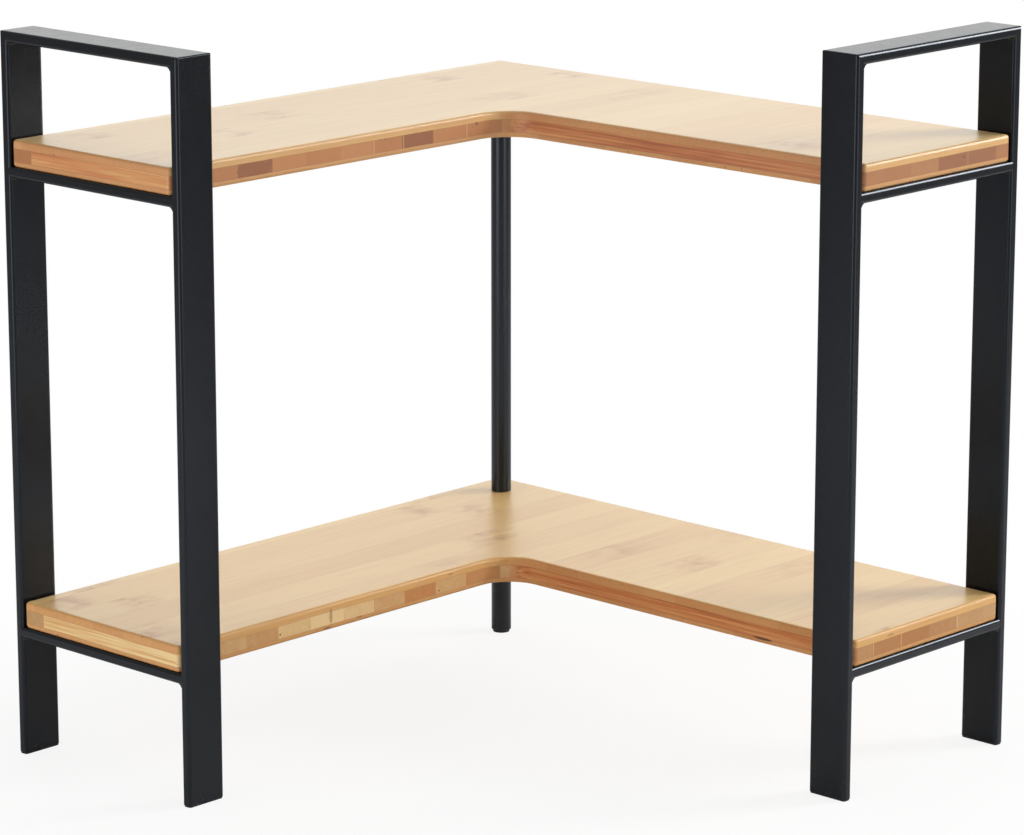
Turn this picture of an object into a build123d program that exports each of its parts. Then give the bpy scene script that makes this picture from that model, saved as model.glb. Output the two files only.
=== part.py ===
from build123d import *
import os

# Corner shelf unit: two L-shaped three-ply bamboo boards carried by two welded flat-steel end frames,
# with a round post and a foot under the back corner. Millimetres, +Z up. The origin is on the standing
# surface at the middle of the square footprint. The back edges face -X and +Y, so one arm runs along
# +X and the other along -Y, and the unit is its own mirror image across the plane x = -y.

# Clear heights, from the standing surface upwards
space_under_lower_board = 74.0
space_between_boards = 244.0
handle_opening_height = 52.5

# Boards
board_arm_length = 382.0       # along a back edge, from the back corner to the arm's end
board_arm_width = 126.0
board_thickness = 15.0
inner_corner_radius = 20.0
outer_corner_radius = 2.5
board_edge_round = 2.0

# Flat steel of the end frames
bar_width = 25.0
bar_thickness = 6.0
bar_edge_round = 1.8
frame_corner_round = 1.0       # outer top corners, ground after welding
joint_reach = 1.4              # how far welded ends reach into the rounding of the bar beside them
weld_leg = 1.6
weld_end_inset = 0.6           # from the frame's faces back to the ends of a weld

# Fit of the boards between the legs
board_side_gap = 1.5           # from a board's long edge to the leg beside it
board_end_inset = 0.5          # from the frame's outer face back to the board's end

# Corner post and foot
post_diameter = 12.0
post_edge_distance = 23.5      # from each back edge to the post's axis
post_end_chamfer = 0.4
foot_bottom_chamfer = 0.8

# Pads on the standing surface
pad_thickness = 1.0
pad_edge_inset = 0.4           # from the sides of a leg
foot_pad_diameter = 10.0

# Countersunk screws through the crossbars, into inserts in the boards
screw_diameter = 5.0
screw_head_diameter = 9.2
screw_hole_gap = 0.25          # radial, through the crossbar
screw_socket_across_flats = 3.0
screw_socket_depth = 1.8
screw_side_distance = 23.0     # from a board's long edge to the screw's axis
screw_insert_diameter = 8.0

# Studs that join the foot, the boards and the post
stud_diameter = 6.0
stud_engagement = 12.0         # in the steel of the foot and the post
stud_hole_gap = 0.25           # radial, through the lower board
post_insert_diameter = 9.0

# Blind threaded holes
insert_cover = 4.0             # wood left above an insert's hole
insert_end_gap = 0.5           # from the top of an insert to the end of its hole
thread_end_gap = 1.0           # past the end of a screw or stud

# Places that follow
lower_board_bottom = space_under_lower_board
lower_board_top = lower_board_bottom + board_thickness
upper_board_bottom = lower_board_top + space_between_boards
upper_board_top = upper_board_bottom + board_thickness
frame_height = upper_board_top + handle_opening_height + bar_thickness
board_to_frame_side = board_side_gap + bar_thickness
frame_span = board_arm_width + 2 * board_to_frame_side
half_depth = (board_to_frame_side + board_arm_length + board_end_inset) / 2
back_y = half_depth - board_to_frame_side
back_x = -back_y
post_x = back_x + post_edge_distance
post_y = back_y - post_edge_distance
insert_length = board_thickness - insert_cover - insert_end_gap
DIAGONAL = Plane(origin=(0, 0, 0), z_dir=(1, 1, 0))
FRAME_MIDDLE = Plane(origin=(frame_span / 2, 0, 0), z_dir=(1, 0, 0))


def rod(diameter, bottom, top):
    """An upright cylinder between two heights."""
    return Pos(0, 0, bottom) * extrude(Circle(diameter / 2), top - bottom)


# One end frame in its own axes: X across the frame from the rear leg's outer face, Y into the unit
# from the frame's outer face, Z up.

def on_left(shape):
    """Move a shape from the frame's axes to the end of the -Y arm."""
    return Pos(-half_depth, -half_depth, 0) * shape


def on_right(shape):
    """Move a shape from the frame's axes to the end of the +X arm."""
    return on_left(shape).mirror(DIAGONAL)


def through_frame(outline):
    """An outline of the frame's face, extruded through the frame's depth."""
    return Rot(90, 0, 0) * extrude(outline, -bar_width)


def ground_envelope():
    """The frame's full outline with its top corners ground round."""
    face = Pos(frame_span / 2, frame_height / 2) * Rectangle(frame_span, frame_height)
    top_corners = face.vertices().sort_by(Axis.Y)[-2:]
    return through_frame(fillet(top_corners, frame_corner_round))


def mitre_wedge():
    """What belongs to the top bar, between the two mitre cuts."""
    outline = Polyline(
        (0, frame_height),
        (frame_span, frame_height),
        (frame_span - bar_thickness, frame_height - bar_thickness),
        (bar_thickness, frame_height - bar_thickness),
        close=True,
    )
    return through_frame(make_face(outline))


def level_bar(start, end, bottom):
    """A flat bar along X, wide faces up and down."""
    section = Plane.YZ * RectangleRounded(bar_width, bar_thickness, bar_edge_round)
    middle_height = bottom + bar_thickness / 2
    return Pos(start, bar_width / 2, middle_height) * extrude(section, end - start)


def rear_leg():
    """An upright bar with its top mitred and ground."""
    section = RectangleRounded(bar_thickness, bar_width, bar_edge_round)
    bar = extrude(section, frame_height - pad_thickness)
    bar = Pos(bar_thickness / 2, bar_width / 2, pad_thickness) * bar
    return (bar - mitre_wedge()) & ground_envelope()


def top_bar():
    bar = level_bar(0, frame_span, frame_height - bar_thickness)
    return bar & mitre_wedge() & ground_envelope()


def screw_places():
    """The screws' axes in a crossbar."""
    from_side = board_to_frame_side + screw_side_distance
    return [(from_side, bar_width / 2), (frame_span - from_side, bar_width / 2)]


def screw_head(bottom):
    """The 90 degree cone of a countersunk head, wide end down."""
    height = (screw_head_diameter - screw_diameter) / 2
    cone = Cone(screw_head_diameter / 2, screw_diameter / 2, height)
    return Pos(0, 0, bottom + height / 2) * cone


def crossbar(top, legs):
    """The bar under a board, let into the roundings of the legs and drilled for its screws."""
    bottom = top - bar_thickness
    start = bar_thickness - joint_reach
    bar = level_bar(start, frame_span - start, bottom)
    for upright in legs:
        bar = bar - upright
    drill = rod(screw_diameter + 2 * screw_hole_gap, bottom, top) + screw_head(bottom)
    for x, y in screw_places():
        bar = bar - Pos(x, y, 0) * drill
    return bar


def weld_run(corner_height, neighbours):
    """A hollow-faced weld beside the rear leg, in the corner under a level bar."""
    outer_edge = Polyline(
        (weld_leg, 0),
        (weld_leg, joint_reach),
        (-joint_reach, joint_reach),
        (-joint_reach, -weld_leg),
        (0, -weld_leg),
    )
    middle = 0.35 * weld_leg
    hollow = ThreePointArc((0, -weld_leg), (middle, -middle), (weld_leg, 0))
    face = make_face([*outer_edge.edges(), hollow])
    run = Rot(90, 0, 0) * extrude(face, 2 * weld_end_inset - bar_width)
    run = Pos(bar_thickness, weld_end_inset, corner_height) * run
    for bar in neighbours:
        run = run - bar
    return run


def frame_welds(rear, level_bars):
    """The welds under both ends of every level bar."""
    solids = []
    for corner_height, bar in level_bars:
        run = weld_run(corner_height, [rear, bar])
        solids += [*run.solids(), *run.mirror(FRAME_MIDDLE).solids()]
    return Compound(solids)


def rear_leg_pad():
    section = RectangleRounded(
        bar_thickness - 2 * pad_edge_inset,
        bar_width - 2 * pad_edge_inset,
        bar_edge_round - pad_edge_inset,
    )
    return Pos(bar_thickness / 2, bar_width / 2, 0) * extrude(section, pad_thickness)


def frame_pieces():
    """Every named piece of one frame, in the frame's axes."""
    rear = rear_leg()
    front = rear.mirror(FRAME_MIDDLE)
    top = top_bar()
    upper = crossbar(upper_board_bottom, [rear, front])
    lower = crossbar(lower_board_bottom, [rear, front])
    level_bars = [
        (frame_height - bar_thickness, top),
        (upper_board_bottom - bar_thickness, upper),
        (lower_board_bottom - bar_thickness, lower),
    ]
    return {
        "frame_rear_leg": rear,
        "frame_front_leg": front,
        "frame_top_bar": top,
        "frame_upper_crossbar": upper,
        "frame_lower_crossbar": lower,
        "frame_welds": frame_welds(rear, level_bars),
        "rear_leg_pad": rear_leg_pad(),
        "front_leg_pad": rear_leg_pad().mirror(FRAME_MIDDLE),
    }


def screw(board_bottom):
    """A countersunk socket screw, its head flush with the crossbar's underside."""
    bottom = board_bottom - bar_thickness
    top = board_bottom + insert_length - thread_end_gap
    socket_radius = screw_socket_across_flats / 3 ** 0.5
    socket = extrude(RegularPolygon(socket_radius, 6), screw_socket_depth)
    body = rod(screw_diameter, bottom, top) + screw_head(bottom)
    return body - Pos(0, 0, bottom) * socket


def threaded_insert(diameter, thread, board_bottom):
    """A threaded sleeve let into a board from below."""
    top = board_bottom + insert_length
    return rod(diameter, board_bottom, top) - rod(thread, board_bottom, top)


def at_every_screw(shape):
    """Copies of one shape on the screw axes of both frames."""
    copies = []
    for x, y in screw_places():
        on_axis = Pos(x, y, 0) * shape
        copies += [on_left(on_axis), on_right(on_axis)]
    return copies


# Boards, post and foot, in the unit's axes

def at_post(shape):
    return Pos(post_x, post_y, 0) * shape


def l_outline():
    """The outline of both boards with all its corners rounded."""
    end_x = back_x + board_arm_length
    end_y = back_y - board_arm_length
    inner_x = back_x + board_arm_width
    inner_y = back_y - board_arm_width
    outline = Polyline(
        (back_x, back_y),
        (end_x, back_y),
        (end_x, inner_y),
        (inner_x, inner_y),
        (inner_x, end_y),
        (back_x, end_y),
        close=True,
    )
    face = make_face(outline)
    inner_point = (inner_x, inner_y, 0)
    outer_corners = face.vertices().sort_by_distance(inner_point)[1:]
    face = fillet(outer_corners, outer_corner_radius)
    inner_corner = face.vertices().sort_by_distance(inner_point)[0]
    return fillet(inner_corner, inner_corner_radius)


def board(bottom):
    """An L-shaped board with blind holes for its screw inserts."""
    slab = Pos(0, 0, bottom) * extrude(l_outline(), board_thickness)
    by_height = slab.edges().group_by(Axis.Z)
    slab = fillet(by_height[0] + by_height[-1], board_edge_round)
    hole = rod(screw_insert_diameter, bottom, bottom + insert_length + insert_end_gap)
    for copy in at_every_screw(hole):
        slab = slab - copy
    return slab


def upper_board():
    bottom = upper_board_bottom
    hole = rod(post_insert_diameter, bottom, bottom + insert_length + insert_end_gap)
    return board(bottom) - at_post(hole)


def lower_board():
    hole = rod(stud_diameter + 2 * stud_hole_gap, lower_board_bottom, lower_board_top)
    return board(lower_board_bottom) - at_post(hole)


def corner_post():
    """The round bar between the boards, tapped at both ends."""
    bar = rod(post_diameter, lower_board_top, upper_board_bottom)
    bar = chamfer(bar.edges().filter_by(GeomType.CIRCLE), post_end_chamfer)
    depth = stud_engagement + thread_end_gap
    bar = bar - rod(stud_diameter, lower_board_top, lower_board_top + depth)
    bar = bar - rod(stud_diameter, upper_board_bottom - depth, upper_board_bottom)
    return at_post(bar)


def corner_foot():
    """The short round bar under the lower board, tapped at its top."""
    bar = rod(post_diameter, pad_thickness, lower_board_bottom)
    rims = bar.edges().filter_by(GeomType.CIRCLE).sort_by(Axis.Z)
    bar = chamfer(rims[-1], post_end_chamfer)
    rims = bar.edges().filter_by(GeomType.CIRCLE).sort_by(Axis.Z)
    bar = chamfer(rims[0], foot_bottom_chamfer)
    depth = stud_engagement + thread_end_gap
    return at_post(bar - rod(stud_diameter, lower_board_bottom - depth, lower_board_bottom))


def unit_pieces():
    """Every named piece of the unit."""
    pieces = {}
    for name, shape in frame_pieces().items():
        pieces[f"left_{name}"] = on_left(shape)
        pieces[f"right_{name}"] = on_right(shape)
    pieces["upper_board"] = upper_board()
    pieces["lower_board"] = lower_board()
    pieces["corner_post"] = corner_post()
    pieces["corner_foot"] = corner_foot()
    pieces["corner_foot_pad"] = at_post(rod(foot_pad_diameter, 0, pad_thickness))

    foot_stud_bottom = lower_board_bottom - stud_engagement
    foot_stud_top = lower_board_top + stud_engagement
    post_stud_bottom = upper_board_bottom - stud_engagement
    post_stud_top = upper_board_bottom + insert_length - thread_end_gap
    post_insert = threaded_insert(post_insert_diameter, stud_diameter, upper_board_bottom)
    pieces["foot_stud"] = at_post(rod(stud_diameter, foot_stud_bottom, foot_stud_top))
    pieces["post_stud"] = at_post(rod(stud_diameter, post_stud_bottom, post_stud_top))
    pieces["post_insert"] = at_post(post_insert)

    for level, bottom in (("upper", upper_board_bottom), ("lower", lower_board_bottom)):
        screws = at_every_screw(screw(bottom))
        insert = threaded_insert(screw_insert_diameter, screw_diameter, bottom)
        pieces[f"{level}_board_screws"] = Compound(screws)
        pieces[f"{level}_board_inserts"] = Compound(at_every_screw(insert))
    return pieces


os.makedirs("parts", exist_ok=True)
for name, shape in unit_pieces().items():
    export_step(shape, f"parts/{name}.step")
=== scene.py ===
import math

import bpy
from bpy.props import FloatProperty, FloatVectorProperty, IntVectorProperty, PointerProperty
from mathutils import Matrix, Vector


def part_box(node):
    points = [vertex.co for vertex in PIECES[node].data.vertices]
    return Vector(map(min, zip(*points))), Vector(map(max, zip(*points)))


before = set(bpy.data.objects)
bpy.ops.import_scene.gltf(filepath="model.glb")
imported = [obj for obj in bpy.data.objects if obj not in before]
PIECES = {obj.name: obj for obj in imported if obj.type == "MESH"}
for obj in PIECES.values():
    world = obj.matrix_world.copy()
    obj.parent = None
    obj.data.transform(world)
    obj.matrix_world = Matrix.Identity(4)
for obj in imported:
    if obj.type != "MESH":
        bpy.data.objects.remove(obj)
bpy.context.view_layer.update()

bl_info = {
    "name": "Corner Shelf Finishes",
    "version": (1, 0, 0),
    "blender": (4, 5, 0),
    "location": "View3D > Sidebar > Corner Shelf",
    "description": "Bamboo, powder coat and studio for the corner shelf unit",
    "category": "Object",
}

MM = 0.001

BOARDS = ("upper_board", "lower_board")
FRAME_BARS = tuple(
    f"{side}_frame_{bar}"
    for side in ("left", "right")
    for bar in ("rear_leg", "front_leg", "top_bar", "upper_crossbar", "lower_crossbar", "welds")
)
POST_AND_FOOT = ("corner_post", "corner_foot")
PLATED = ("upper_board_screws", "lower_board_screws", "foot_stud", "post_stud")
TURNED = ("upper_board_inserts", "lower_board_inserts", "post_insert")
PADS = (
    "left_rear_leg_pad",
    "left_front_leg_pad",
    "right_rear_leg_pad",
    "right_front_leg_pad",
    "corner_foot_pad",
)

# Splits in the boards' edges: the board, how dark the split is (the strength of its painted shade and of
# its dent), and its middle and reach in millimetres
SPLITS = (
    ("lower_board", 1.0, (130.0, 61.5, 77.0), (8.0, 3.0, 0.8)),
    ("lower_board", 0.5, (-61.5, -81.0, 81.9), (3.0, 1.5, 5.0)),
    ("upper_board", 0.6, (-60.0, 36.0, 342.6), (3.0, 1.6, 1.6)),
)

# Laminated bamboo, in millimetres
RAIL_WIDTH = 16.0  # the one core strip along the back of the left arm
PLY_SHIFT = 9.3  # how far each ply's strips lie beside those of the next ply
FACE_LENGTH, CORE_LENGTH = 1800.0, 520.0  # lengths after which a strip goes on in another piece
FIRST_LENGTH, STAGGER = 400, 900  # where the first length starts, and how far chance shifts it
GLUE_END, GLUE_DARKEST = 0.28, 0.05  # distances from the middle of a joint
RING_END, RING_DARKEST = 3.2, 0.3  # distances from the middle of a knuckle
SMUDGE_REACH, SMUDGE_CHANCE = 8, 16  # how far the smudge beside a knuckle reaches, and what chance adds
BROWNER_X = (60.0, 150.0)  # where the core's ends turn browner, towards the right arm's end

RUBBED_HEIGHT = 14.0  # how far up from the floor the steel's coat is rubbed, in millimetres

# Lamps: where each stands, where it points, its width and height, and how many degrees it shines into
LAMPS = {
    "top": ((-0.3, 0.35, 1.9), (0.0, 0.0, 0.2), (1.6, 1.6), 180),
    "left": ((-0.1, -1.1, 0.42), (-0.1, 0.0, 0.3), (0.7, 0.82), 180),
    "right": ((1.1, 0.1, 0.42), (0.0, 0.1, 0.3), (0.7, 0.82), 180),
    "back": ((-1.5, 1.6, 0.95), (0.0, 0.0, 0.6), (3.0, 1.8), 180),
    "rim": ((1.1, 1.64, 1.05), (0.15, 0.0, 0.25), (0.7, 0.9), 60),
}

FLOOR_WHITENESS = 0.85  # share of plain white in the floor round the unit, as the camera sees it
FLOOR_FADE = (0.25, 0.5)  # metres from the unit's middle over which it turns all white
WHITE = (1.0, 1.0, 1.0, 1.0)


# Shader maths

def is_number(value):
    """Whether a value is a plain number or a socket that carries one."""
    if isinstance(value, Signal):
        return value.socket.type == "VALUE"
    return isinstance(value, (int, float))


class Signal:
    """A node's output. Arithmetic on it adds the Math or Vector Math nodes that do the sum."""

    def __init__(self, nodes, socket):
        self.nodes = nodes
        self.socket = socket

    def _sum(self, operation, *terms):
        kind = "ShaderNodeMath"
        if not all(is_number(term) for term in terms):
            kind = "ShaderNodeVectorMath"
            terms = [(t, t, t) if isinstance(t, (int, float)) else t for t in terms]
        return self.nodes.node(kind, {"operation": operation}, dict(enumerate(terms)))

    def __add__(self, other):
        return self._sum("ADD", self, other)

    def __radd__(self, other):
        return self._sum("ADD", other, self)

    def __sub__(self, other):
        return self._sum("SUBTRACT", self, other)

    def __rsub__(self, other):
        return self._sum("SUBTRACT", other, self)

    def __mul__(self, other):
        return self._sum("MULTIPLY", self, other)

    def __rmul__(self, other):
        return self._sum("MULTIPLY", other, self)

    def __truediv__(self, other):
        return self._sum("DIVIDE", self, other)

    def __abs__(self):
        return self._sum("ABSOLUTE", self)

    def floor(self):
        return self._sum("FLOOR", self)

    def fraction(self):
        return self._sum("FRACT", self)

    def at_most(self, other):
        return self._sum("MINIMUM", self, other)

    def at_least(self, other):
        return self._sum("MAXIMUM", self, other)

    def clipped(self):
        """Kept from 0 to 1."""
        return self.at_most(1.0).at_least(0.0)

    def step(self, start, end):
        """0 at start and 1 at end, smooth between; start may be the higher."""
        rise = self.nodes.node(
            "ShaderNodeMapRange",
            {"interpolation_type": "SMOOTHSTEP"},
            {"Value": self, "From Min": min(start, end), "From Max": max(start, end)},
        )
        return rise if start < end else 1 - rise

    def length(self):
        """A vector's length."""
        return self.nodes.node(
            "ShaderNodeVectorMath", {"operation": "LENGTH"}, {0: self}, output="Value"
        )

    def other(self, output):
        """Another output of the same node."""
        return Signal(self.nodes, self.socket.node.outputs[output])


class Nodes:
    """One material's or the world's node tree."""

    def __init__(self, tree):
        self.tree = tree
        tree.nodes.clear()

    def node(self, kind, settings=None, sockets=None, output=0):
        """Add a node, make its settings, then set or link its sockets; the result is one output."""
        made = self.tree.nodes.new(kind)
        for name, value in (settings or {}).items():
            setattr(made, name, value)
        for name, value in (sockets or {}).items():
            if isinstance(value, Signal):
                self.tree.links.new(value.socket, made.inputs[name])
            else:
                made.inputs[name].default_value = value
        return Signal(self, made.outputs[output]) if made.outputs else None

    def millimetres(self):
        """The shaded point's place in millimetres."""
        return self.node("ShaderNodeTexCoord", output="Object") * (1 / MM)

    def facing(self):
        """How far the surface faces along X, Y and Z, each from 0 to 1."""
        return [abs(share) for share in self.split(self.node("ShaderNodeTexCoord", output="Normal"))]

    def split(self, vector):
        """A vector's X, Y and Z."""
        made = self.node("ShaderNodeSeparateXYZ", sockets={0: vector})
        return [made.other(axis) for axis in range(3)]

    def join(self, x, y, z):
        return self.node("ShaderNodeCombineXYZ", sockets={0: x, 1: y, 2: z})

    def noise(self, vector, detail=2.0, roughness=0.5):
        """Smooth noise about 0.5, with one blob per unit of the vector."""
        sockets = {"Vector": vector, "Scale": 1.0, "Detail": detail, "Roughness": roughness}
        return self.node("ShaderNodeTexNoise", sockets=sockets)

    def cells(self, vector):
        """Distance from the nearest of scattered points, about one per unit of the vector."""
        return self.node("ShaderNodeTexVoronoi", sockets={"Vector": vector, "Scale": 1.0})

    def chance(self, vector):
        """Three random values from 0 to 1 for each whole vector."""
        made = self.node("ShaderNodeTexWhiteNoise", sockets={"Vector": vector})
        return self.split(made.other("Color"))

    def blend(self, share, first, second):
        """Mix two numbers or two colours; share is how much of it is the second."""
        if is_number(first) and is_number(second):
            return self.node(
                "ShaderNodeMix", {"data_type": "FLOAT"}, {0: share, 2: first, 3: second}
            )
        first, second = [c if isinstance(c, Signal) else opaque(c) for c in (first, second)]
        sockets = {0: share, 6: first, 7: second}
        return self.node("ShaderNodeMix", {"data_type": "RGBA"}, sockets, output=2)

    def palette(self, position, tones):
        """The colour at a position from 0 to 1 along tones, each with its own position first."""
        made = self.node("ShaderNodeValToRGB", sockets={"Fac": position})
        ramp = made.socket.node.color_ramp
        while len(ramp.elements) < len(tones):
            ramp.elements.new(1.0)
        for element, (place, color) in zip(ramp.elements, tones):
            element.position = place
            element.color = opaque(color)
        return made

    def bump(self, height, distance, strength):
        """The surface's direction over bumps; a height of 1 is the distance in metres."""
        sockets = {"Height": height, "Distance": distance, "Strength": strength}
        return self.node("ShaderNodeBump", sockets=sockets)

    def surface(self, sockets):
        """End the tree in one shader."""
        shader = self.node("ShaderNodeBsdfPrincipled", sockets=sockets)
        self.node("ShaderNodeOutputMaterial", sockets={"Surface": shader})


def new_material(name):
    """A material and its empty node tree."""
    material = bpy.data.materials.new(name)
    material.use_nodes = True
    return material, Nodes(material.node_tree)


def srgb(red, green, blue):
    """A colour as 0 to 255 screen values, in the linear values that shaders use."""
    def linear(value):
        share = value / 255
        return share / 12.92 if share <= 0.04045 else ((share + 0.055) / 1.055) ** 2.4
    return (linear(red), linear(green), linear(blue))


def opaque(color):
    """A colour with the fourth value that sockets want."""
    return (*color, 1.0)


def times(color, share):
    """A darker or a lighter colour of the same hue."""
    return [part * share for part in color]


def dress(names, material):
    """Give pieces of the part one material in every slot."""
    for name in names:
        slots = PIECES[name].material_slots
        if not slots:
            PIECES[name].data.materials.append(material)
        for slot in slots:
            slot.material = material


# Bamboo

# Tones of the cut bamboo, each with its place from 0 to 1 first
CORE_END_TONES = (
    (0.0, srgb(134, 78, 38)),
    (0.12, srgb(166, 106, 58)),
    (0.45, srgb(174, 116, 66)),
    (0.6, srgb(178, 130, 82)),
    (0.8, srgb(194, 157, 108)),
    (1.0, srgb(212, 181, 132)),
)
CORE_SIDE_TONES = (
    (0.0, srgb(158, 86, 48)),
    (0.25, srgb(186, 110, 60)),
    (0.5, srgb(200, 135, 80)),
    (0.75, srgb(214, 166, 104)),
    (1.0, srgb(232, 202, 148)),
)
BROWN_END, PALE_SKIN = srgb(138, 88, 50), srgb(222, 184, 130)
OUTER_SIDE, OCHRE_SIDE = srgb(200, 158, 100), srgb(184, 134, 80)
OUTER_END, DARK_OUTER_END = srgb(210, 156, 100), srgb(180, 118, 68)


class Laminate:
    """Where a point lies in a board's plies and strips, in millimetres, and what its strip is like.

    The outer plies' strips run along Y and the core's along X, but for one rail of the core along the
    back of the left arm. The number is 0 for the upper board and 1 for the lower one.
    """

    def __init__(self, nodes, board, look, number):
        low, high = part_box(board)
        self.nodes = nodes
        self.board = board
        self.number = number
        self.pitch = look.strip_width / MM
        self.half_core = look.core_thickness / MM / 2

        self.place = nodes.millimetres()
        self.x, y, self.z = nodes.split(self.place)
        self.frontness = (high.y / MM - y) / ((high.y - low.y) / MM)

        # plies, not quite flat: -1, 0 and 1 from the lowest to the top one
        wobble = (nodes.noise(self.place * 0.03, detail=1.0) - 0.5) * 0.7
        self.height = self.z - (low.z + high.z) / 2 / MM + look.core_drop / MM + wobble
        self.ply = (self.height / (2 * self.half_core) + 0.5).floor()
        self.core = 1 - abs(self.ply).at_most(1.0)
        self.rail = self.core * (self.x - low.x / MM).step(RAIL_WIDTH + 0.1, RAIL_WIDTH - 0.1)
        crosswise = self.core - self.rail
        self.along = nodes.blend(crosswise, y, self.x)
        self.across = nodes.blend(crosswise, self.x, y)

        # strips, not quite straight
        self.seed = nodes.blend(self.core, look.face_seeds[number], look.core_seeds[number])
        drift_place = nodes.join(self.across / 60, self.ply * 7.0, self.seed * 1.7)
        drift = (nodes.noise(drift_place, detail=0.0) - 0.5) * 6
        strip = (self.across + drift + self.ply * PLY_SHIFT + look.strip_shift / MM) / self.pitch
        self.index = strip.floor()
        self.in_strip = strip.fraction()
        # no two strips take their noise from the same place
        self.own_grain = self.index * 13.7 + self.ply * 5.1
        self.tone, self.phase, warmth = nodes.chance(nodes.join(self.index, self.ply, self.seed))

        # lengths that a strip is joined from
        piece_length = nodes.blend(self.core, FACE_LENGTH, CORE_LENGTH)
        piece = ((self.along + self.tone * STAGGER + FIRST_LENGTH) / piece_length).floor()
        luck = nodes.chance(nodes.join(self.index, self.ply + 11.0, piece + self.seed))
        piece_shade, self.joint_depth, self.hue = luck
        self.shade = warmth * 0.7 + piece_shade * 0.3 + (number - 0.5) * look.board_contrast

        # a rounded edge turns from face to side while it tilts from 8 to 37 degrees
        facing = nodes.facing()
        self.side = (1 - facing[2]).step(0.01, 0.2)
        self.cut_across = nodes.blend(crosswise, facing[1], facing[0]).step(0.35, 0.85)
        self.end_grain = self.side * self.cut_across

        # fibres
        self.fine = nodes.noise(self.grain(0.9, 55, 0.9))
        self.broad = nodes.noise(self.grain(4.0, 160, 4.0))
        self.streaks = nodes.noise(self.grain(1.6, 70, 1.3), detail=3.0, roughness=0.6)
        self.bundles = nodes.cells(self.grain(1.1, 38, 1.1)).step(0.34, 0.12)

    def grain(self, wide, long, thick):
        """A vector for noise whose blobs are this wide, long and thick in the strip."""
        return self.nodes.join(self.across / wide + self.own_grain, self.along / long, self.z / thick)


def knuckles(nodes, wood, look):
    """The rings at the bamboo's joints, and how far ring and smudge together darken the wood."""
    spacing = look.knuckle_spacing / MM
    off_middle = wood.in_strip - 0.5
    # strips side by side have them at like places, and each is bowed and ragged across its strip
    family = nodes.noise(nodes.join(wood.index * 0.33, wood.ply * 3.0, wood.seed * 2.3), detail=0.0)
    bow = off_middle * off_middle * 14 * (wood.phase - 0.3)
    ragged = (nodes.noise(wood.grain(5, 25, 5)) - 0.5) * 14
    turn = (wood.along + bow + ragged) / spacing + family * 1.8 + wood.phase * 0.3
    distance = abs(turn.fraction() - 0.5) * spacing
    ring = distance.step(RING_END, RING_DARKEST)
    halo = (1.3 - distance / (SMUDGE_REACH + wood.joint_depth * SMUDGE_CHANCE)).clipped()
    smudge = nodes.noise(wood.grain(9, 18, 9), detail=3.0).step(0.30, 0.68)
    darkening = ring * (0.1 + smudge * 0.25) + halo * smudge * 0.8
    return ring, darkening * wood.phase.step(0.2, 0.8)


def glue_lines(wood):
    """Glue between the strips, and glue between the plies."""
    to_joint = (0.5 - abs(wood.in_strip - 0.5)) * wood.pitch
    strip_joint = to_joint.step(GLUE_END, GLUE_DARKEST) * (0.2 + wood.joint_depth * 0.5)
    ply_joint = abs(abs(wood.height) - wood.half_core).step(GLUE_END, GLUE_DARKEST)
    return strip_joint, ply_joint


def edge_gaps(nodes, wood):
    """Narrow gaps that open in a few places of the sides, and the board's splits: where they dent the
    sides and where shade is painted into them.
    """
    cell = nodes.cells(wood.grain(3.5, 16, 3.5))
    luck = nodes.split(cell.other("Color"))[0]
    gap = cell.step(0.26, 0.10) * luck.step(0.93, 0.97)
    for board, darkness, middle, reach in SPLITS:
        if board == wood.board:
            gap = gap.at_least(((wood.place - middle) / reach).length().step(1.0, 0.7) * darkness)
    return gap


def face_color(nodes, wood, look, knuckle):
    """Pale strips with dark fibres and brown knuckles."""
    tone = wood.tone * 0.75 + (wood.broad - 0.5) * 0.5
    face = nodes.blend(tone, look.pale_strip, look.warm_strip)
    face = nodes.blend((wood.fine - 0.46).at_least(0.0) * 0.8 + wood.bundles * 0.08, face, look.fibre)
    return nodes.blend(knuckle, face, look.knuckle)


def core_end_color(nodes, wood):
    """The core's cut strips, a row of light and dark blocks, some with pale skin at one edge."""
    lightness = wood.shade + (wood.broad - 0.5) * 0.2 - wood.rail * (0.3 * wood.number)
    ends = nodes.palette(lightness, CORE_END_TONES)
    ends = nodes.blend(wood.x.step(*BROWNER_X) * 0.5, ends, BROWN_END)
    from_joint = wood.in_strip * wood.pitch
    skin = (from_joint - 0.6).at_most(1.9 - from_joint).step(0.0, 0.5) * wood.phase.step(0.5, 0.7)
    return nodes.blend(skin * 0.35, ends, PALE_SKIN)


def core_side_color(nodes, wood):
    """The core's strips from the side: red-brown at the back, pale at the front of the lower board."""
    most = 0.65 + 0.35 * wood.number
    lightness = (
        wood.frontness.at_least(0.33).at_most(most) * 0.75
        + (wood.shade - 0.5) * 0.25
        + (wood.streaks - 0.5) * 1.5
        + (wood.broad - 0.5) * 0.6
    )
    return nodes.palette(lightness, CORE_SIDE_TONES)


def outer_side_color(nodes, wood):
    """The outer plies' strips from the side."""
    ochre = (wood.streaks - 0.5) * 1.2 + wood.hue * 0.3 + (0.5 - wood.ply * 0.35)
    return nodes.blend(ochre.clipped(), OUTER_SIDE, OCHRE_SIDE)


def outer_end_color(nodes, wood):
    """The outer plies' cut strips, paler towards the front of the lower board."""
    back = (1 - wood.frontness * wood.number).at_most(0.67) * 0.6
    darkness = back + wood.tone * 0.3 + (wood.streaks - 0.5) * 0.7
    return nodes.blend(darkness, OUTER_END, DARK_OUTER_END)


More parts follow.
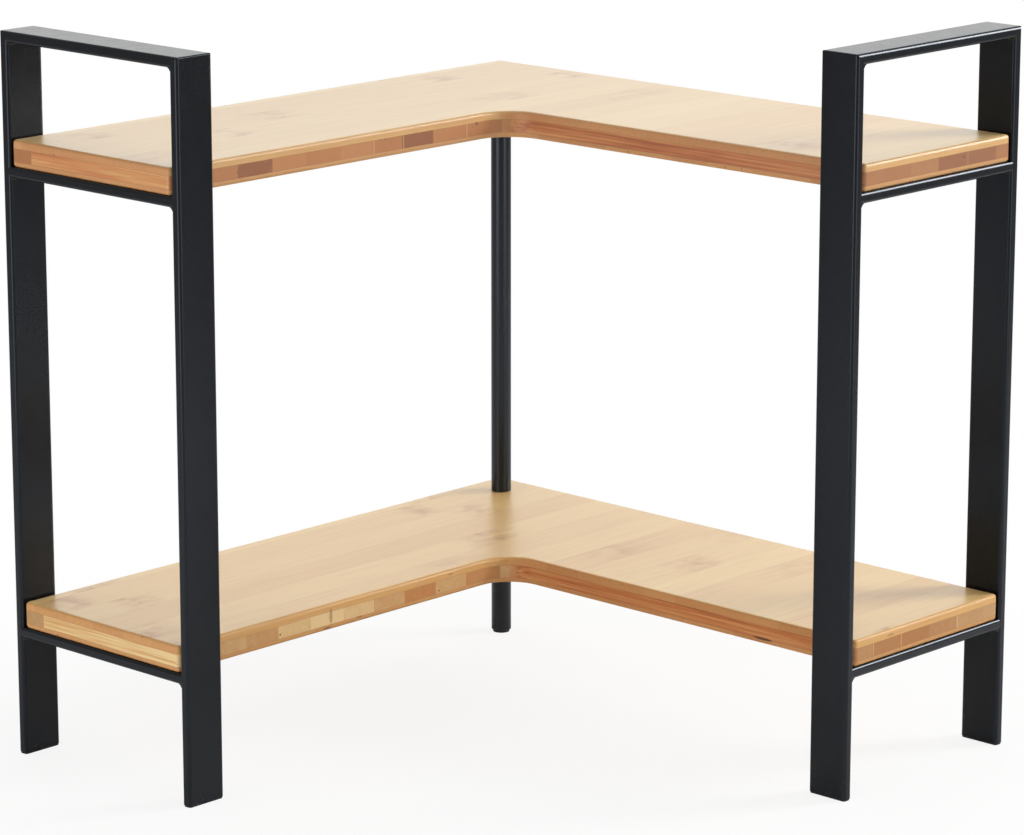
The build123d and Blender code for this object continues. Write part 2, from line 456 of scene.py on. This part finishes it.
def edge_color(nodes, wood, look):
    """Every ply's colour on the sides, with the fibres' ends as dark dots."""
    long_side = nodes.blend(wood.core, outer_side_color(nodes, wood), core_side_color(nodes, wood))
    cut_end = nodes.blend(wood.core, outer_end_color(nodes, wood), core_end_color(nodes, wood))
    edge = nodes.blend(wood.cut_across, long_side, cut_end)
    return nodes.blend(wood.bundles * (0.10 + wood.end_grain * 0.16), edge, look.fibre)


def bamboo(name, board, look, number):
    """Three-ply laminated bamboo under clear lacquer.

    Every strip has its own tone, its own knuckles and its own fibres.
    """
    material, nodes = new_material(name)
    wood = Laminate(nodes, board, look, number)
    ring, knuckle = knuckles(nodes, wood, look)
    strip_joint, ply_joint = glue_lines(wood)
    ply_line = ply_joint * wood.side
    gap = edge_gaps(nodes, wood) * wood.side

    color = nodes.blend(wood.side, face_color(nodes, wood, look, knuckle), edge_color(nodes, wood, look))
    color = nodes.blend((strip_joint * 0.4 + ply_line * 0.35).at_most(1.0), color, look.glue_line)
    # painted shade: the gaps and splits are darkened in the colour, as shade would fall inside them
    color = nodes.blend(gap * 0.85, color, look.gap)

    height = (
        wood.fine * 0.35
        - wood.bundles * 0.3 * (0.4 + wood.end_grain)
        - strip_joint * 0.7
        - ply_line * 0.6
        - ring * 0.2
        - gap * 3.0
    )
    nodes.surface(
        {
            "Base Color": color,
            "Roughness": 0.42 + wood.fine * 0.12 + wood.end_grain * 0.12,
            "IOR": 1.5,
            "Specular IOR Level": look.wood_sheen[number],
            "Coat Weight": 1.0 - wood.side * 0.75,
            "Coat Roughness": look.lacquer_roughness,
            "Coat IOR": 1.5,
            "Normal": nodes.bump(height, 0.05 * MM, 0.55),
        }
    )
    return material


# Steel, fasteners and pads

def powder_coat(name, look, gloss):
    """Satin black powder coat with its fine orange peel, a little rubbed near the floor."""
    material, nodes = new_material(name)
    place = nodes.millimetres()
    peel = nodes.noise(place / 0.9, roughness=0.6)
    flow = nodes.noise(place / 7.0)
    cloud = nodes.noise(place / 60)
    speck = nodes.noise(place / 0.45, detail=0.0).step(0.66, 0.74)
    near_floor = nodes.split(place)[2].step(RUBBED_HEIGHT, 0.0)
    worn = near_floor * nodes.noise(place / 2.5, detail=3.0).step(0.5, 0.72)

    color = nodes.blend((cloud - 0.5) * 0.8 + 0.5, look.coat, times(look.coat, 1.5))
    color = nodes.blend(speck * 0.25 + worn * 0.18, color, look.rubbed)
    nodes.surface(
        {
            "Base Color": color,
            "Roughness": look.coat_roughness + (flow - 0.5) * 0.10 + worn * 0.12,
            "IOR": 1.5,
            "Specular IOR Level": gloss,
            "Specular Tint": opaque(look.sheen),
            "Normal": nodes.bump(peel * 0.6 + flow * 0.8, 0.02 * MM, 0.6),
        }
    )
    return material


def zinc_plate(name, look):
    """Zinc plate with turning marks round upright axes."""
    material, nodes = new_material(name)
    place = nodes.millimetres()
    x, y, z = nodes.split(place)
    turning = nodes.noise(nodes.join(x / 3, y / 3, z / 0.18), detail=1.0)
    bloom = nodes.noise(place / 1.6, detail=3.0)
    nodes.surface(
        {
            "Base Color": nodes.blend(bloom, look.zinc, times(look.zinc, 0.78)),
            "Metallic": 1.0,
            "Roughness": 0.28 + bloom * 0.16,
            "Normal": nodes.bump(turning + bloom * 0.3, 0.02 * MM, 0.5),
        }
    )
    return material


def turned_brass(name, look):
    """Turned brass with fine tool marks."""
    material, nodes = new_material(name)
    place = nodes.millimetres()
    x, y, z = nodes.split(place)
    turning = nodes.noise(nodes.join(x / 4, y / 4, z / 0.15), detail=1.0)
    tarnish = nodes.noise(place / 2.2, detail=3.0)
    dull = [part * share for part, share in zip(look.brass, (0.7, 0.62, 0.5))]
    nodes.surface(
        {
            "Base Color": nodes.blend(tarnish * 0.7, look.brass, dull),
            "Metallic": 1.0,
            "Roughness": 0.24 + tarnish * 0.2,
            "Normal": nodes.bump(turning, 0.02 * MM, 0.5),
        }
    )
    return material


def pad_rubber(name, look):
    """Matt black rubber with a fine moulded grain and some dust."""
    material, nodes = new_material(name)
    place = nodes.millimetres()
    grain = nodes.noise(place / 0.35)
    dust = nodes.noise(place / 4.0, detail=3.0).step(0.45, 0.75)
    dusty = [part * 2.2 + 0.01 for part in look.rubber]
    nodes.surface(
        {
            "Base Color": nodes.blend(dust * 0.5, look.rubber, dusty),
            "Roughness": 0.72 + dust * 0.15,
            "Specular IOR Level": 0.35,
            "Normal": nodes.bump(grain, 0.05 * MM, 0.6),
        }
    )
    return material


# Studio

def turn_along(made, direction):
    """Turn a lamp or a camera to look along a direction."""
    made.rotation_mode = "QUATERNION"
    made.rotation_quaternion = direction.to_track_quat("-Z", "Y")


def lamp(name, place, aim, size, spread, power):
    """A soft box that the camera doesn't see."""
    data = bpy.data.lights.new(name, "AREA")
    data.shape = "RECTANGLE"
    data.size, data.size_y = size
    data.energy = power
    data.spread = math.radians(spread)
    made = bpy.data.objects.new(name, data)
    made.location = place
    turn_along(made, Vector(aim) - Vector(place))
    made.visible_camera = False
    bpy.context.scene.collection.objects.link(made)


def seen_directly(nodes):
    """1 on rays straight from the camera."""
    return nodes.node("ShaderNodeLightPath", output="Is Camera Ray")


def pale_floor(look):
    """A matt pale floor that turns into the white background away from the unit."""
    mesh = bpy.data.meshes.new("studio_floor")
    half = look.floor_size / 2
    corners = [(-half, -half, 0), (half, -half, 0), (half, half, 0), (-half, half, 0)]
    mesh.from_pydata(corners, [], [(0, 1, 2, 3)])
    floor = bpy.data.objects.new("studio_floor", mesh)
    bpy.context.scene.collection.objects.link(floor)

    material, nodes = new_material("pale_floor")
    place = nodes.node("ShaderNodeTexCoord", output="Object")
    mottle = nodes.noise(place * 60)
    matt = nodes.node(
        "ShaderNodeBsdfPrincipled",
        sockets={
            "Base Color": nodes.blend(mottle, look.floor, times(look.floor, 0.985)),
            "Roughness": 1.0,
            "Specular IOR Level": 0.0,
        },
    )
    white = nodes.node("ShaderNodeEmission", sockets={"Color": WHITE, "Strength": 1.0})
    whiteness = FLOOR_WHITENESS + place.length().step(*FLOOR_FADE) * (1 - FLOOR_WHITENESS)
    mixed = nodes.node(
        "ShaderNodeMixShader", sockets={0: whiteness * seen_directly(nodes), 1: matt, 2: white}
    )
    nodes.node("ShaderNodeOutputMaterial", sockets={"Surface": mixed})
    mesh.materials.append(material)


def studio_world(look):
    """Even light from all round, and a white background."""
    world = bpy.data.worlds.new("studio_world")
    world.use_nodes = True
    bpy.context.scene.world = world
    nodes = Nodes(world.node_tree)
    air = {"Color": opaque(look.air), "Strength": look.air_strength}
    soft = nodes.node("ShaderNodeBackground", sockets=air)
    white = nodes.node("ShaderNodeBackground", sockets={"Color": WHITE, "Strength": 1.0})
    mixed = nodes.node("ShaderNodeMixShader", sockets={0: seen_directly(nodes), 1: soft, 2: white})
    nodes.node("ShaderNodeOutputWorld", sockets={"Surface": mixed})


def studio_camera(look):
    """A long lens that looks slightly down at the unit."""
    data = bpy.data.cameras.new("studio_camera")
    data.lens = look.lens
    camera = bpy.data.objects.new("studio_camera", data)
    level = math.cos(look.elevation)
    back = Vector(
        (math.sin(look.azimuth) * level, -math.cos(look.azimuth) * level, math.sin(look.elevation))
    )
    camera.location = look.stand
    turn_along(camera, -back)
    bpy.context.scene.collection.objects.link(camera)
    bpy.context.scene.camera = camera


# Settings

def color_property(name, description, value):
    return FloatVectorProperty(
        name=name, description=description, default=value, subtype="COLOR", min=0.0, max=1.0
    )


def share_property(name, description, value):
    """A number from 0 to 1."""
    return FloatProperty(
        name=name, description=description, default=value, subtype="FACTOR", min=0.0, max=1.0
    )


def length_property(name, description, value, least=0.0):
    return FloatProperty(name=name, description=description, default=value, unit="LENGTH", min=least)


def power_property(name, description, value):
    return FloatProperty(name=name, description=description, default=value, unit="POWER", min=0.0)


def angle_property(name, description, value):
    return FloatProperty(name=name, description=description, default=value, subtype="ANGLE")


class BambooSettings(bpy.types.PropertyGroup):
    """Sizes and colours of the laminated bamboo."""

    strip_width: length_property("Strip width", "Width of one bamboo strip", 0.0246, least=0.005)
    strip_shift: length_property("Strip shift", "How far the strips start from the middle", 0.0224)
    core_thickness: length_property(
        "Core thickness", "Thickness of the middle layer", 0.0074, least=0.001
    )
    core_drop: length_property(
        "Core drop", "How far the middle layer lies below the board's mid height", 0.0008
    )
    knuckle_spacing: length_property(
        "Knuckle spacing", "Distance between two knuckles of a strip", 0.27, least=0.05
    )
    lacquer_roughness: share_property(
        "Lacquer roughness", "How far the clear lacquer spreads its reflections", 0.32
    )
    wood_sheen: FloatVectorProperty(
        name="Wood sheen",
        description="How strongly the wood itself reflects under the lacquer of each board",
        default=(0.55, 0.15),
        size=2,
        min=0.0,
        max=1.0,
    )
    board_contrast: share_property(
        "Board contrast", "How much paler the lower board's core is than the upper one's", 0.6
    )
    face_seeds: IntVectorProperty(
        name="Face seeds",
        description="Which strips the boards' outer plies are made of",
        default=(3, 20),
        size=2,
    )
    core_seeds: IntVectorProperty(
        name="Core seeds",
        description="Which strips the boards' cores are made of",
        default=(10725, 6463),
        size=2,
    )
    pale_strip: color_property("Pale strips", "Lightest strips of the outer plies", srgb(226, 193, 130))
    warm_strip: color_property("Warm strips", "Darkest strips of the outer plies", srgb(213, 171, 107))
    fibre: color_property("Fibres", "Dark fibres and streaks", srgb(168, 118, 70))
    knuckle: color_property("Knuckles", "Brown of the knuckles", srgb(190, 138, 72))
    glue_line: color_property("Glue lines", "Between strips and plies", srgb(140, 92, 56))
    # painted shade: the dark colour inside the gaps and splits stands in for the shade in them
    gap: color_property("Gaps", "Inside of the narrow gaps in the sides", srgb(66, 42, 26))


class SteelSettings(bpy.types.PropertyGroup):
    """Finish of the frames, post and foot."""

    coat: color_property("Powder coat", "Black of the coat", (0.0034, 0.0037, 0.0043))
    rubbed: color_property("Rubbed coat", "Specks and rubbed places of the coat", (0.03, 0.03, 0.033))
    sheen: color_property("Sheen", "Colour of the coat's reflections", (0.76, 0.86, 1.0))
    coat_roughness: share_property(
        "Coat roughness", "How far the coat spreads its reflections", 0.22
    )
    coat_gloss: share_property("Coat gloss", "Strength of the frames' reflections", 0.35)
    post_gloss: share_property("Post gloss", "Strength of the post's and the foot's reflections", 0.5)


class HardwareSettings(bpy.types.PropertyGroup):
    """Finishes of the fasteners and pads."""

    zinc: color_property("Zinc plate", "Screws and studs", (0.56, 0.57, 0.58))
    brass: color_property("Brass", "Threaded inserts", (0.74, 0.53, 0.24))
    rubber: color_property("Rubber", "Pads", (0.018, 0.018, 0.019))


class StudioSettings(bpy.types.PropertyGroup):
    """Floor, lamps and camera."""

    floor: color_property("Floor", "Colour of the floor", (0.86, 0.86, 0.86))
    floor_size: length_property("Floor size", "Side of the square floor", 14.0, least=2.0)
    air: color_property("Air", "Colour of the light from all round", (1.0, 1.0, 1.0))
    air_strength: share_property("Air strength", "Strength of the light from all round", 0.38)
    top_power: power_property("Top lamp", "Power of the lamp overhead", 7.5)
    left_power: power_property("Left lamp", "Power of the lamp to the left", 4.6)
    right_power: power_property("Right lamp", "Power of the lamp to the right", 3.2)
    back_power: power_property("Back lamp", "Power of the lamp behind", 14.0)
    rim_power: power_property("Rim lamp", "Power of the small lamp behind and above", 4.6)
    lens: FloatProperty(
        name="Lens", description="Focal length", default=150.12, min=10.0, unit="CAMERA"
    )
    azimuth: angle_property("Azimuth", "Camera's turn round the unit", 0.75607)
    elevation: angle_property("Elevation", "Camera's tilt downwards", 0.2379)
    stand: FloatVectorProperty(
        name="Camera place",
        description="Where the camera stands",
        default=(1.56655, -1.66160, 0.74446),
        subtype="TRANSLATION",
        unit="LENGTH",
    )


SETTINGS = {
    "shelf_bamboo": BambooSettings,
    "shelf_steel": SteelSettings,
    "shelf_hardware": HardwareSettings,
    "shelf_studio": StudioSettings,
}


# Operators

class SHELF_OT_lacquer_boards(bpy.types.Operator):
    """Give both boards their laminated bamboo"""

    bl_idname = "shelf.lacquer_boards"
    bl_label = "Lacquer Boards"

    def execute(self, context):
        look = context.scene.shelf_bamboo
        for number, board in enumerate(BOARDS):
            dress([board], bamboo(f"bamboo_{board}", board, look, number))
        return {"FINISHED"}


class SHELF_OT_coat_frames(bpy.types.Operator):
    """Give the bars and welds of both end frames their black coat"""

    bl_idname = "shelf.coat_frames"
    bl_label = "Coat End Frames"

    def execute(self, context):
        look = context.scene.shelf_steel
        dress(FRAME_BARS, powder_coat("frame_powder_coat", look, look.coat_gloss))
        return {"FINISHED"}


class SHELF_OT_coat_post(bpy.types.Operator):
    """Give the corner post and foot their black coat"""

    bl_idname = "shelf.coat_post"
    bl_label = "Coat Post and Foot"

    def execute(self, context):
        look = context.scene.shelf_steel
        dress(POST_AND_FOOT, powder_coat("post_powder_coat", look, look.post_gloss))
        return {"FINISHED"}


class SHELF_OT_finish_fasteners(bpy.types.Operator):
    """Plate the screws and studs, and turn the inserts in brass"""

    bl_idname = "shelf.finish_fasteners"
    bl_label = "Finish Fasteners"

    def execute(self, context):
        look = context.scene.shelf_hardware
        dress(PLATED, zinc_plate("zinc_plate", look))
        dress(TURNED, turned_brass("turned_brass", look))
        return {"FINISHED"}


class SHELF_OT_mould_pads(bpy.types.Operator):
    """Give the pads under the legs and foot their rubber"""

    bl_idname = "shelf.mould_pads"
    bl_label = "Mould Pads"

    def execute(self, context):
        dress(PADS, pad_rubber("pad_rubber", context.scene.shelf_hardware))
        return {"FINISHED"}


class SHELF_OT_set_studio(bpy.types.Operator):
    """Lay the floor, hang the lamps and stand the camera"""

    bl_idname = "shelf.set_studio"
    bl_label = "Set Studio"

    def execute(self, context):
        look = context.scene.shelf_studio
        pale_floor(look)
        studio_world(look)
        for name, (place, aim, size, spread) in LAMPS.items():
            lamp(f"{name}_lamp", place, aim, size, spread, getattr(look, f"{name}_power"))
        studio_camera(look)
        context.scene.view_settings.view_transform = "Standard"
        return {"FINISHED"}


STEPS = (
    SHELF_OT_lacquer_boards,
    SHELF_OT_coat_frames,
    SHELF_OT_coat_post,
    SHELF_OT_finish_fasteners,
    SHELF_OT_mould_pads,
    SHELF_OT_set_studio,
)


class SHELF_PT_finishes(bpy.types.Panel):
    """Lists the settings and the steps"""

    bl_idname = "SHELF_PT_finishes"
    bl_label = "Corner Shelf"
    bl_space_type = "VIEW_3D"
    bl_region_type = "UI"
    bl_category = "Corner Shelf"

    def draw(self, context):
        for name, group in SETTINGS.items():
            box = self.layout.box()
            for setting in group.__annotations__:
                box.prop(getattr(context.scene, name), setting)
        for step in STEPS:
            self.layout.operator(step.bl_idname)


CLASSES = (*SETTINGS.values(), *STEPS, SHELF_PT_finishes)


def register():
    for each in CLASSES:
        bpy.utils.register_class(each)
    for name, group in SETTINGS.items():
        setattr(bpy.types.Scene, name, PointerProperty(type=group))


def unregister():
    for name in SETTINGS:
        delattr(bpy.types.Scene, name)
    for each in reversed(CLASSES):
        bpy.utils.unregister_class(each)


def main():
    register()
    bpy.ops.shelf.lacquer_boards()
    bpy.ops.shelf.coat_frames()
    bpy.ops.shelf.coat_post()
    bpy.ops.shelf.finish_fasteners()
    bpy.ops.shelf.mould_pads()
    bpy.ops.shelf.set_studio()


if __name__ == "__main__":
    main()
